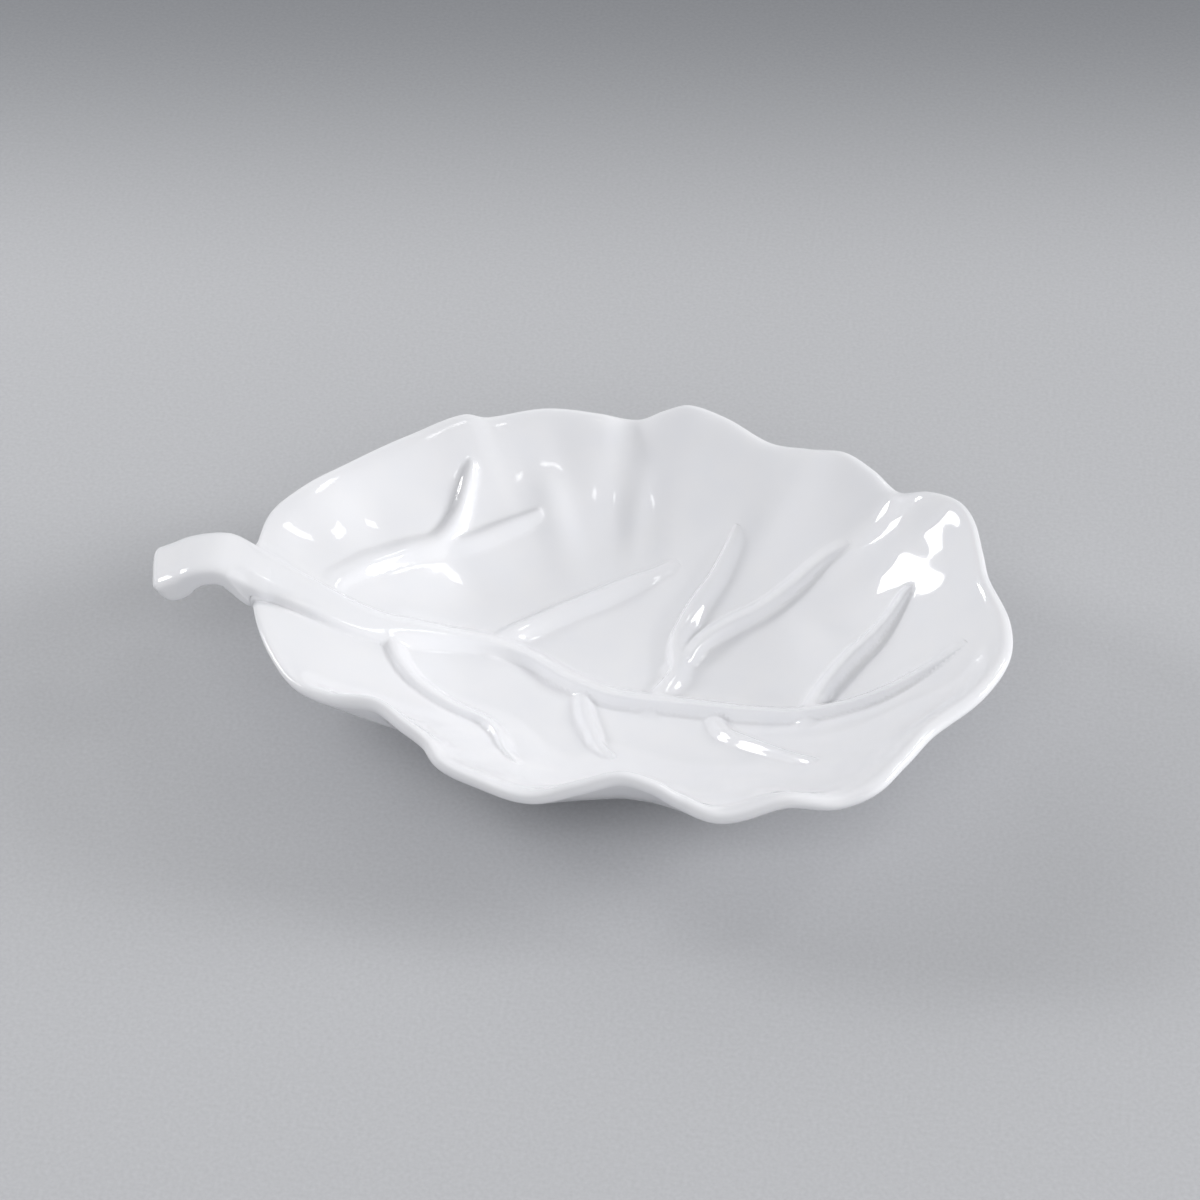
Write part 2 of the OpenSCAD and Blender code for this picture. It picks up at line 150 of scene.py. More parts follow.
# The stalk from well inside the rim out to its free end: the share of its reach, then how far its
# top has dropped, its width, its thickness and its place sideways, as shares of the full sizes.
STALK_SHARES: Table = (
    (-0.94, 2.47, 0.93, 1.0, -0.068), (-0.81, 2.09, 0.93, 1.0, -0.068), (-0.69, 1.73, 0.93, 1.0, -0.067),
    (-0.56, 1.45, 0.94, 1.0, -0.065), (-0.44, 1.22, 0.95, 1.0, -0.063), (-0.31, 0.97, 0.96, 1.0, -0.061),
    (-0.20, 0.74, 0.97, 1.0, -0.059), (-0.09, 0.51, 0.97, 0.98, -0.058), (0.0, 0.33, 0.97, 0.88, -0.057),
    (0.10, 0.17, 0.98, 0.76, -0.056), (0.27, 0.0, 1.0, 0.71, -0.055), (0.46, 0.08, 1.0, 0.73, -0.0545),
    (0.65, 0.30, 1.0, 0.84, -0.0545), (0.79, 0.59, 1.0, 0.92, -0.055), (0.89, 0.79, 0.99, 0.88, -0.0555),
    (1.0, 1.0, 0.97, 0.64, -0.056), (1.1, 1.2, 0.95, 0.4, -0.056),
)


def cubic(p: Array, q: Array, m: Array, n: Array, t: Array) -> Array:
    """Cubic from p to q that leaves with slope m and arrives with slope n.

    Args:
        p: Start value.
        q: End value.
        m: Slope at the start, for the whole span.
        n: Slope at the end, for the whole span.
        t: Share of the span, from 0 to 1.

    Returns:
        The values at t.
    """
    arrived = 3 * t**2 - 2 * t**3
    return (1 - arrived) * p + arrived * q + (t**3 - 2 * t**2 + t) * m + (t**3 - t**2) * n


def smooth_line(points: Array, steps: int) -> Array:
    """Smooth curve through points: on each span a cubic whose end slopes are half the neighbours' chord.

    Args:
        points: Rows of coordinates.
        steps: Steps from each point to the next.

    Returns:
        Rows of coordinates along the curve.
    """
    padded = np.vstack([points[:1], points, points[-1:]])
    a, b, c, d = padded[:-3], padded[1:-2], padded[2:-1], padded[3:]
    t = np.linspace(0, 1, steps, endpoint=False)[:, None, None]
    spans = cubic(b, c, (c - a) / 2, (d - b) / 2, t)
    return np.vstack([spans.transpose(1, 0, 2).reshape(-1, points.shape[1]), points[-1:]])


def unit(vectors: Array) -> Array:
    """The vectors, each divided by its length."""
    return vectors / np.linalg.norm(vectors, axis=-1, keepdims=True)


def smoothstep(low: float, high: float, x: Array) -> Array:
    """0 below low, 1 above high, and the cubic 3t^2 - 2t^3 in between."""
    t = np.clip((x - low) / (high - low), 0, 1)
    return t * t * (3 - 2 * t)


def turn_from(centre: float, angle: Array) -> Array:
    """Angles in degrees counted from a centre, between -180 and 180."""
    return (angle - centre + 540) % 360 - 180


def nearest(x: Array, y: Array, line: Array) -> tuple[Array, Array, Array]:
    """Distance from points to a line in plan, the share of the way along it, and the side.

    On every segment the foot of the perpendicular is clamped to the segment's ends, and the
    shortest of these distances is taken. The side is the sine of the angle between the segment
    and the way to the point: 1 square to its left, -1 square to its right, and between past an end.

    Args:
        x: X of the points.
        y: Y of the points.
        line: Rows of x and y.

    Returns:
        The distances, the shares along the line's points, and the sides.
    """
    start, run = line[:-1], np.diff(line, axis=0)
    dx, dy = x[..., None] - start[:, 0], y[..., None] - start[:, 1]
    t = np.clip((dx * run[:, 0] + dy * run[:, 1]) / (run**2).sum(1), 0, 1)
    off_x, off_y = dx - t * run[:, 0], dy - t * run[:, 1]
    away = np.hypot(off_x, off_y)
    best = away.argmin(-1)[..., None]
    cross = (run[:, 0] * off_y - run[:, 1] * off_x) / np.hypot(run[:, 0], run[:, 1])
    least = np.take_along_axis(away, best, -1)[..., 0]
    share = (best + np.take_along_axis(t, best, -1))[..., 0] / len(run)
    return least, share, np.take_along_axis(cross, best, -1)[..., 0] / np.maximum(least, TINY)


def table_at(table: Table, share: Array) -> Array:
    """Second column of a table at a share in its first column.

    Between two rows it follows a cubic, whose slope at a row is that of the chord between the
    row's neighbours.

    Args:
        table: Rows of a share and a value.
        share: The shares wanted.

    Returns:
        The values.
    """
    rows = np.array(table, float)
    rows = np.vstack([2 * rows[:1] - rows[1:2], rows, 2 * rows[-1:] - rows[-2:-1]])
    return curve_at(rows, np.clip(share, rows[1, 0], rows[-2, 0]))[..., 0]


def curve_at(rows: Array, place: Array) -> Array:
    """The columns after the first of rows at a place in the first column, on the cubics of table_at.

    Args:
        rows: Rows with one row before and one after the places that are asked for.
        place: The places wanted.

    Returns:
        The columns' values, in a last axis of their own.
    """
    i = np.clip(np.searchsorted(rows[:, 0], place, side="right") - 1, 1, len(rows) - 3)
    span = (rows[i + 1, 0] - rows[i, 0])[..., None]
    m = (rows[i + 1] - rows[i - 1]) / (rows[i + 1, 0] - rows[i - 1, 0])[..., None] * span
    n = (rows[i + 2] - rows[i]) / (rows[i + 2, 0] - rows[i, 0])[..., None] * span
    return cubic(rows[i], rows[i + 1], m, n, (place - rows[i, 0])[..., None] / span)[..., 1:]


@dataclass(frozen=True)
class Rib:
    """A raised rib on the leaf's upper face, in millimetres.

    Its crown falls from the centre line to both edges as (1 - u^2)^2, where u is the share of the
    half width, so it runs out into the leaf without an edge. With lean above 0 the left side is
    wider by that share and the right side narrower and steeper. With flat above 0 it has a broad
    crown with shoulders over that share of its length. Its lean sets in over lean_run of its
    length, from lean_from of that broad part on.
    """

    name: str
    route: Table
    width: float
    height: float
    lean: float = 0.0
    widths: Table = VEIN_WIDTH_SHARES
    heights: Table = VEIN_HEIGHT_SHARES
    flat: float = 0.0
    broad_to: float = 0.35
    lean_from: float = 0.6
    lean_run: float = 0.2

    def line(self, steps: int = 8) -> Array:
        """The rib's centre line in plan, with so many steps between its route's points."""
        return smooth_line(np.array(self.route) * (HALF_LENGTH, HALF_WIDTH), steps)

    def half(self, share: Array, side: Array) -> Array:
        """Half the rib's width on one side of its centre line.

        Args:
            share: Shares of the way along.
            side: 1 to the left, -1 to the right, or between.

        Returns:
            The half widths.
        """
        start = self.lean_from * self.flat
        lean = self.lean * smoothstep(start, start + self.lean_run, share)
        return self.width / 2 * table_at(self.widths, share) * (1 + side * lean)

    def relief(self, x: Array, y: Array) -> Array:
        """Height of the rib over the leaf's face at places in plan.

        The broad crown is (1 - u^5)^1.5 on its left and (1 - u^9)^1.2 on its right. It turns into
        the plain one over the end of the broad part, from the share broad_to of that part on.

        Args:
            x: X of the places.
            y: Y of the places.

        Returns:
            The heights, 0 beyond the rib's edges.
        """
        away, share, side = nearest(x, y, self.line())
        u = np.minimum(1, away / self.half(share, side))
        crown = (1 - u**2) ** 2
        if self.flat > 0:
            broad = 1 - smoothstep(self.broad_to * self.flat, self.flat, share)
            shoulder = np.where(side < 0, (1 - u**9) ** 1.2, (1 - u**5) ** 1.5)
            crown = crown + (shoulder - crown) * broad
        return self.height * table_at(self.heights, share) * crown


@dataclass(frozen=True)
class Swelling:
    """A soft rise or, with a negative height, hollow, as a clay modeller's thumb leaves it.

    Its place is in shares of the leaf, its two radii and height are in millimetres, and turn is
    the angle of its long radius from +X in degrees.
    """

    x_share: float
    y_share: float
    long: float
    wide: float
    turn: float
    height: float

    def rise(self, x: Array, y: Array) -> Array:
        """Its height times exp(-a^2 - b^2), where a and b are the shares of its two radii.

        Args:
            x: X of the places.
            y: Y of the places.

        Returns:
            The rises.
        """
        c, s = math.cos(math.radians(self.turn)), math.sin(math.radians(self.turn))
        dx, dy = x - self.x_share * HALF_LENGTH, y - self.y_share * HALF_WIDTH
        a = (dx * c + dy * s) / self.long
        b = (dy * c - dx * s) / self.wide
        return self.height * np.exp(-(a**2) - b**2)


# Placed on the back wall, round the tip, beside the stalk and on the front wall.
SWELLINGS: tuple[Swelling, ...] = (
    Swelling(-0.27, 0.68, 15, 5.5, 118, 2.1),
    Swelling(-0.30, 0.84, 8, 8, 110, -1.5),
    Swelling(-0.11, 0.77, 14, 5, 100, -1.9),
    Swelling(-0.04, 0.75, 13, 3.5, 92, 1.5),
    Swelling(0.02, 0.73, 15, 4.5, 88, -1.9),
    Swelling(0.325, 0.725, 12, 6, 60, -2.6),
    Swelling(0.53, 0.75, 12, 7, 50, 2.3),
    Swelling(0.74, 0.56, 9, 9, 0, -1.8),
    Swelling(0.74, 0.50, 12, 6, 0, 2.1),
    Swelling(0.74, 0.44, 12, 6, 135, 1.6),
    Swelling(0.88, 0.31, 9, 6, 90, -1.9),
    Swelling(0.925, 0.125, 12, 6, 90, -2.0),
    Swelling(0.51, 0.25, 12, 6, 135, 2.0),
    Swelling(-0.91, 0.17, 10, 8, 150, -1.4),
    Swelling(-0.77, 0.40, 10, 8, 130, -1.4),
    Swelling(-0.50, 0.37, 9, 7, 120, -0.8),
    Swelling(-0.78, -0.34, 15, 11, -30, 2.0),
    Swelling(-0.40, -0.58, 13, 9, -50, 1.0),
)


@dataclass(frozen=True)
class StalkForm:
    """The stalk's sizes along its reach, in millimetres, which the leaf's face takes up at its root."""

    rim_x: float = -HALF_LENGTH
    top: float = 49.7
    reach: float = 32.0
    drop: float = 9.2
    width: float = 18.4
    thickness: float = 10.0
    shoulder: float = 2.6
    shoulder_start: float = 0.42
    shoulder_end: float = 0.98
    flank: float = 8.0
    flank_power: float = 24.0
    back_fall: float = 2.5
    back_power: float = 2.0
    fillet: float = 2.4
    root_length: float = 30.0
    root_fade: float = 4.0
    cover_sides: tuple[float, float] = (-1.6, -0.5)
    cover_ends: tuple[float, float] = (1.5, 3.5)

    def sizes(self, x: Array) -> tuple[Array, Array, Array, Array]:
        """Its sizes at places along X, on the cubics through STALK_SHARES.

        Args:
            x: The places.

        Returns:
            Its top's height, width, thickness and place sideways.
        """
        rows = np.array(STALK_SHARES)
        share = np.clip((self.rim_x - x) / self.reach, rows[1, 0], rows[-2, 0])
        drop, width, thickness, side = np.moveaxis(curve_at(rows, share), -1, 0)
        top = self.top - self.drop * drop
        return top, self.width * width, self.thickness * thickness, HALF_WIDTH * side

    def root(self, x: Array, y: Array, face: Array) -> Array:
        """Height of its root over the leaf's face, which it runs into with a fillet.

        Its own top falls off gently towards the back, by a power of the share of its half width.
        Towards the front it has a sloping shoulder and then a steep flank, by a high power. Where
        that top is d over the face, and d is between -k and k for a fillet k, the height is
        (d + k)^2 / 4k; above that it is d.

        Args:
            x: X of the places.
            y: Y of the places.
            face: Height of the leaf's face there.

        Returns:
            The heights, 0 away from the root.
        """
        top, width, _, side = self.sizes(x)
        v = (y - side) / (width / 2)
        front = self.shoulder * smoothstep(self.shoulder_start, self.shoulder_end, -v)
        front = front + self.flank * np.abs(v) ** self.flank_power
        fall = np.where(v < 0, front, self.back_fall * np.abs(v) ** self.back_power)
        over = top - fall - face
        near = np.clip(over + self.fillet, 0, 2 * self.fillet) ** 2 / (4 * self.fillet)
        end = self.rim_x + self.root_length
        return np.where(over > self.fillet, over, near) * smoothstep(end, end - self.root_fade, x)

    def cover(self, x: Array, y: Array) -> Array:
        """Where the strap itself hides the leaf's face at its root.

        Args:
            x: X of the places.
            y: Y of the places.

        Returns:
            1 under the strap and 0 away from there.
        """
        _, width, _, side = self.sizes(x)
        inside = 1 - smoothstep(*self.cover_sides, np.abs(y - side) - width / 2)
        start, stop = self.cover_ends
        return inside * (1 - smoothstep(self.rim_x + start, self.rim_x + stop, x))


@dataclass
class LeafForm:
    """The leaf's shape: a bowl over an oval with a wavy rim, in millimetres."""

    rim_height: float = 46.0
    wall: float = 4.2
    foot_height: float = 4.0
    floor_share: float = 0.15
    wall_power: float = 2.4
    ramp_power: float = 1.5
    ramp_angle: float = 186.0
    ramp_fan: float = 38.0
    out_power: float = 3.0
    wave_power: float = 6.0
    swell_height: float = 1.6
    swell_width: float = 10.0
    uneven_height: float = 0.16
    uneven_lengths: tuple[float, float, float, float] = (7.1, 9.3, 5.7, 13.1)
    uneven_starts: tuple[float, float] = (1.3, 0.4)
    union_power: float = 4.0
    roll_share: float = 0.885
    roll_depth: float = 1.4
    roll_past: float = 1.2
    bead: float = 0.3
    bead_scale: float = 9.48
    front_bead: float = 0.9
    front_angle: float = 340.0
    front_fan: float = 62.0
    stalk_angle: float = 183.0
    stalk_clear: tuple[float, float] = (5.0, 12.0)
    sunk: float = 0.08
    sunk_run: float = 0.2
    polar_tries: int = 8
    ribs: tuple[Rib, ...] = ()
    stalk: StalkForm = field(default_factory=StalkForm)

    @property
    def floor(self) -> float:
        """Height of the inside floor."""
        return self.foot_height + self.wall

    def rim(self, angle: Array) -> tuple[Array, Array]:
        """The rim's out share and height share round the oval.

        Between two stations of RIM_SHARES each share follows a cubic, whose slope at a station is
        that of the chord between the station's neighbours.

        Args:
            angle: Angles from the tip in degrees.

        Returns:
            The out shares and the height shares.
        """
        rows = np.array(RIM_SHARES)
        turn = np.array([360.0, 0, 0])
        found = curve_at(np.vstack([rows[-1:] - turn, rows, rows[:2] + turn]), np.asarray(angle) % 360)
        return found[..., 0], found[..., 1]

    def plan(self, share: Array, angle: Array) -> tuple[Array, Array]:
        """Plan place of a share of the way out from the leaf's middle to its rim.

        The rim's bends in and out die away inwards with share^out_power.

        Args:
            share: Shares of the way out.
            angle: Angles from the tip in degrees.

        Returns:
            X and Y.
        """
        out = share * (1 + (self.rim(angle)[0] - 1) * share**self.out_power)
        turn = np.radians(angle)
        return HALF_LENGTH * out * np.cos(turn), HALF_WIDTH * out * np.sin(turn)

    def polar(self, x: Array, y: Array) -> tuple[Array, Array]:
        """The share of the way out and the angle of a plan place: the other way about from plan().

        Args:
            x: X of the places.
            y: Y of the places.

        Returns:
            The shares, found by trying the bends' strength again and again, and the angles.
        """
        angle = np.degrees(np.arctan2(y / HALF_WIDTH, x / HALF_LENGTH))
        plain = np.hypot(x / HALF_LENGTH, y / HALF_WIDTH)
        out = self.rim(angle)[0] - 1
        share = plain
        for _ in range(self.polar_tries):
            share = plain / (1 + out * np.minimum(share, 1) ** self.out_power)
        return share, angle

    def bowl(self, x: Array, y: Array) -> Array:
        """Height of the plain bowl.

        It has a level floor and a wall that climbs with a power of the share of the way out, which
        is lower for the ramp at the stalk. The rim's waves grow with share^wave_power.

        Args:
            x: X of the places.
            y: Y of the places.

        Returns:
            The heights.
        """
        share, angle = self.polar(x, y)
        ramp = np.exp(-((turn_from(self.ramp_angle, angle) / self.ramp_fan) ** 2))
        power = self.wall_power + (self.ramp_power - self.wall_power) * ramp
        rise = np.maximum(0, (share - self.floor_share) / (1 - self.floor_share)) ** power
        wave = self.rim_height * (self.rim(angle)[1] - 1) * share**self.wave_power
        return self.floor + (self.rim_height - self.floor) * rise + wave

    def uneven(self, x: Array, y: Array) -> Array:
        """The unevenness of a modelled leaf: waves along X times waves along Y, and a pair askew.

        Args:
            x: X of the places.
            y: Y of the places.

        Returns:
            Its heights, a few tenths of a millimetre at most.
        """
        along, across, askew, steep = self.uneven_lengths
        first, second = self.uneven_starts
        straight = np.sin(x / along + first) * np.sin(y / across + second)
        return self.uneven_height * (straight + np.sin((x + y) / askew) * np.sin((x - 2 * y) / steep))

    def roll(self, share: Array, angle: Array) -> Array:
        """How the face swells close to the rim and turns over outwards, but for the stalk's root.

        It swells by a bead's height times s e^3 (1 - e), where e is the share of the way from
        roll_share to the rim and s brings the greatest value to 1, and turns over by a depth times
        e^3. The bead is fullest at the tip and in front of it.

        Args:
            share: Shares of the way out.
            angle: Angles from the tip in degrees.

        Returns:
            The heights to add.
        """
        edge = np.clip((share - self.roll_share) / (1 - self.roll_share), 0, self.roll_past)
        ahead = turn_from(self.front_angle, angle) / self.front_fan
        bead = self.bead + self.front_bead * np.exp(-(ahead**2))
        turned = (self.bead_scale * bead * (1 - edge) - self.roll_depth) * edge**3
        return turned * smoothstep(*self.stalk_clear, np.abs(turn_from(self.stalk_angle, angle)))

    def soft(self, x: Array, y: Array) -> Array:
        """Height of the leaf's skin without its ribs.

        Over the bowl lie a soft swelling under each rib, 1 less the product of 1 - exp(-(d/w)^2)
        over the ribs' distances d, the swellings between them, its unevenness, and its rolled rim.

        Args:
            x: X of the places.
            y: Y of the places.

        Returns:
            The heights.
        """
        share, angle = self.polar(x, y)
        clear = np.ones_like(x)
        for rib in self.ribs:
            clear = clear * (1 - np.exp(-((nearest(x, y, rib.line(2))[0] / self.swell_width) ** 2)))
        rise = self.swell_height * (1 - clear) + sum(swelling.rise(x, y) for swelling in SWELLINGS)
        inside = np.maximum(0, 1 - share**self.wave_power)
        return self.bowl(x, y) + (rise + self.uneven(x, y)) * inside + self.roll(share, angle)

    def relief(self, x: Array, y: Array) -> Array:
        """Height of all the ribs and the stalk's root together.

        It is the root of the sum of their heights' powers, which rounds off the corner where one
        runs into another.

        Args:
            x: X of the places.
            y: Y of the places.

        Returns:
            The heights over soft().
        """
        total = sum(rib.relief(x, y) ** self.union_power for rib in self.ribs)
        total = total + self.stalk.root(x, y, self.soft(x, y)) ** self.union_power
        return total ** (1 / self.union_power)

    def sink(self, relief: Array) -> Array:
        """How far the blade's face lies under the ribs' own pieces, by the ribs' height."""
        return self.sunk * relief / (relief + self.sunk_run)

    def skin(self, x: Array, y: Array) -> Array:
        """Height of the blade's upper face, under the ribs' own pieces and without what the stalk covers."""
        relief = self.relief(x, y) * (1 - self.stalk.cover(x, y))
        return self.soft(x, y) + relief - self.sink(relief)


@dataclass(frozen=True)
class Seat:
    """Where the leaf's middle lies in the frame, in millimetres, and how shapes get there."""

    x: float
    y: float

    def place(self, points: Array) -> Array:
        """Points of a shape, in metres in the frame."""
        return (points + (self.x, self.y, 0.0)) * MM


def grid_faces(rows: int, columns: int, round_rows: bool = False) -> Array:
    """Four-sided faces over a grid of points that runs row by row, each row closed on itself.

    Args:
        rows: Rows of points.
        columns: Points in each row.
        round_rows: Whether the last row joins the first.

    Returns:
        Rows of four point numbers.
    """
    i = np.arange(rows if round_rows else rows - 1)[:, None]
    row, beyond = i * columns, (i + 1) % rows * columns
    j = np.arange(columns)
    k = (j + 1) % columns
    return np.stack([row + j, row + k, beyond + k, beyond + j], -1).reshape(-1, 4)


def make_mesh(
    name: str,
    points: Array,
    faces: Array,
    fans: Sequence[tuple[int, Array, bool]],
    smooth: Array | None = None,
) -> bpy.types.Object:
    """A mesh object from arrays.

    Args:
        name: The piece's name.
        points: Rows of x, y and z in metres.
        faces: Rows of four point numbers.
        fans: For each closed end, the number of its middle point, its ring's point numbers, and
            whether the fan turns the other way.
        smooth: Which of the four-sided faces are shaded smooth. Without it every face is.

    Returns:
        The new object, linked to the scene.
    """
    triangles = []
    for middle, ring, turned in fans:
        beside = np.roll(ring, -1)
        hub = np.full_like(ring, middle)
        triangles.append(np.stack([hub, beside, ring] if turned else [hub, ring, beside], -1))
    three = np.vstack(triangles) if triangles else np.zeros((0, 3), int)
    corners = np.concatenate([faces.ravel(), three.ravel()])
    sizes = np.concatenate([np.full(len(faces), 4), np.full(len(three), 3)])
    mesh = bpy.data.meshes.new(name)
    mesh.vertices.add(len(points))
    mesh.vertices.foreach_set("co", points.astype(np.float32).ravel())
    mesh.loops.add(len(corners))
    mesh.loops.foreach_set("vertex_index", corners.astype(np.int32))
    mesh.polygons.add(len(sizes))
    starts = np.concatenate([[0], np.cumsum(sizes)[:-1]])
    mesh.polygons.foreach_set("loop_start", starts.astype(np.int32))
    soft = np.ones(len(sizes), bool)
    if smooth is not None:
        soft[: len(smooth)] = smooth
        soft[len(smooth) :] = False
    mesh.polygons.foreach_set("use_smooth", soft)
    mesh.update(calc_edges=True)
    mesh.validate()
    made = bpy.data.objects.new(name, mesh)
    bpy.context.scene.collection.objects.link(made)
    return made


def closed_tube(name: str, rings: Array, seat: Seat, crown: int | None = None) -> bpy.types.Object:
    """A closed skin over rings of equally many points, with a fan at each end.

    Args:
        name: The piece's name.
        rings: Points in millimetres, by ring and by place in the ring.
        seat: Where the shape goes.
        crown: How many of each ring's points are on the crown, which alone is then shaded smooth,
            up to a sharp edge. Without it the whole skin is smooth.

    Returns:
        The new object.
    """
    rows, columns = rings.shape[:2]
    ends = np.stack([rings[0].mean(0), rings[-1].mean(0)])
    points = np.vstack([rings.reshape(-1, 3), ends])
    first = np.arange(columns)
    last = first + (rows - 1) * columns
    fans = [(len(points) - 2, first, True), (len(points) - 1, last, False)]
    smooth = None if crown is None else np.tile(np.arange(columns) < crown - 1, rows - 1)
    return make_mesh(name, seat.place(points), grid_faces(rows, columns), fans, smooth)


class Gloss(Enum):
    """How a surface throws back light: the roughness of its outer skin."""

    GLAZE = 0.07
    BISCUIT = 0.75
    BOARD = 0.62


def linear(hex_colour: str) -> tuple[float, float, float, float]:
    """An sRGB colour turned linear.

    Args:
        hex_colour: The colour as # and six hex digits.

    Returns:
        Linear red, green and blue, and alpha.
    """
    parts = [int(hex_colour[i : i + 2], 16) / 255 for i in (1, 3, 5)]
    turned = [c / 12.92 if c <= 0.04045 else ((c + 0.055) / 1.055) ** 2.4 for c in parts]
    return turned[0], turned[1], turned[2], 1.0


def bare_material(name: str) -> tuple[bpy.types.Material, bpy.types.NodeTree]:
    """A new material without nodes.

    Args:
        name: Its name.

    Returns:
        The material and its node tree.
    """
    made = bpy.data.materials.new(name)
    made.use_nodes = True
    made.node_tree.nodes.clear()
    return made, made.node_tree


def add_node(
    tree: bpy.types.NodeTree,
    kind: str,
    settings: dict[str | int, object],
    links: dict[str, bpy.types.NodeSocket],
) -> bpy.types.Node:
    """Adds one node to a material, with its settings and what feeds it.

    Args:
        tree: The material's node tree.
        kind: Blender's name for the node's type.
        settings: Values by input socket name or number, or else by property name.
        links: Output sockets of other nodes by input socket name.

    Returns:
        The new node.
    """
    node = tree.nodes.new(kind)
    for name, value in settings.items():
        if isinstance(name, int) or name in node.inputs:
            node.inputs[name].default_value = value
        else:
            setattr(node, name, value)
    for name, socket in links.items():
        tree.links.new(socket, node.inputs[name])
    return node


@dataclass(frozen=True)
class GlazedPorcelain:
    """White porcelain under a clear glaze, fired glossy.

    The clay under the glaze scatters light evenly. The glaze gives sharp reflections, which
    ripple because it pools as it melts, by a few hundredths of a millimetre.
    """

    colour: str = "#F5F5F7"
    pooled: str = "#F1F2F6"
    ior: float = 1.5
    ripple_mm: float = 9.0
    ripple_depth_mm: float = 0.035
    pinhole_mm: float = 1.1
    pinhole_depth_mm: float = 0.01
    pinhole_strength: float = 0.12

    def material(self) -> bpy.types.Material:
        """The glaze with its ripples and pinholes as bump, and a faintly cooler white where it pools.

        Returns:
            The new material.
        """
        made, tree = bare_material("glazed_porcelain")
        place = add_node(tree, "ShaderNodeTexCoord", {}, {}).outputs["Object"]
        waves = {"Scale": 1 / (self.ripple_mm * MM), "Detail": 1.5, "Roughness": 0.4}
        ripple = add_node(tree, "ShaderNodeTexNoise", waves, {"Vector": place}).outputs["Fac"]
        dots = {"Scale": 1 / (self.pinhole_mm * MM), "Detail": 2.0}
        fine = add_node(tree, "ShaderNodeTexNoise", dots, {"Vector": place}).outputs["Fac"]
        deep = {"Strength": 1.0, "Distance": self.ripple_depth_mm * MM}
        swell = add_node(tree, "ShaderNodeBump", deep, {"Height": ripple}).outputs["Normal"]
        shallow = {"Strength": self.pinhole_strength, "Distance": self.pinhole_depth_mm * MM}
        skin = add_node(tree, "ShaderNodeBump", shallow, {"Height": fine, "Normal": swell}).outputs["Normal"]
        whites = {"data_type": "RGBA", MIX_FIRST: linear(self.colour), MIX_SECOND: linear(self.pooled)}
        shade = add_node(tree, "ShaderNodeMix", whites, {"Factor": ripple}).outputs[MIX_RESULT]
        glaze = {"Roughness": Gloss.GLAZE.value, "IOR": self.ior}
        body = add_node(tree, "ShaderNodeBsdfPrincipled", glaze, {"Base Color": shade, "Normal": skin})
        add_node(tree, "ShaderNodeOutputMaterial", {}, {"Surface": body.outputs["BSDF"]})
        return made


@dataclass(frozen=True)
class Biscuit:
    """Bare fired clay on the foot's underside, ground flat: matt, warmer and faintly sandy."""

    colour: str = "#E6E1D6"
    sandy: str = "#D3CCBD"
    ior: float = 1.5
    grain_mm: float = 0.4
    grain_depth_mm: float = 0.05
    grain_strength: float = 0.5

    def material(self) -> bpy.types.Material:
        """The bare clay, with its grain in colour and bump.

        Returns:
            The new material.
        """
        made, tree = bare_material("biscuit_porcelain")
        place = add_node(tree, "ShaderNodeTexCoord", {}, {}).outputs["Object"]
        dots = {"Scale": 1 / (self.grain_mm * MM), "Detail": 3.0}
        grain = add_node(tree, "ShaderNodeTexNoise", dots, {"Vector": place}).outputs["Fac"]
        clays = {"data_type": "RGBA", MIX_FIRST: linear(self.colour), MIX_SECOND: linear(self.sandy)}
        shade = add_node(tree, "ShaderNodeMix", clays, {"Factor": grain}).outputs[MIX_RESULT]
        sand = {"Strength": self.grain_strength, "Distance": self.grain_depth_mm * MM}
        rough = add_node(tree, "ShaderNodeBump", sand, {"Height": grain}).outputs["Normal"]
        clay = {"Roughness": Gloss.BISCUIT.value, "IOR": self.ior}
        body = add_node(tree, "ShaderNodeBsdfPrincipled", clay, {"Base Color": shade, "Normal": rough})
        add_node(tree, "ShaderNodeOutputMaterial", {}, {"Surface": body.outputs["BSDF"]})
        return made


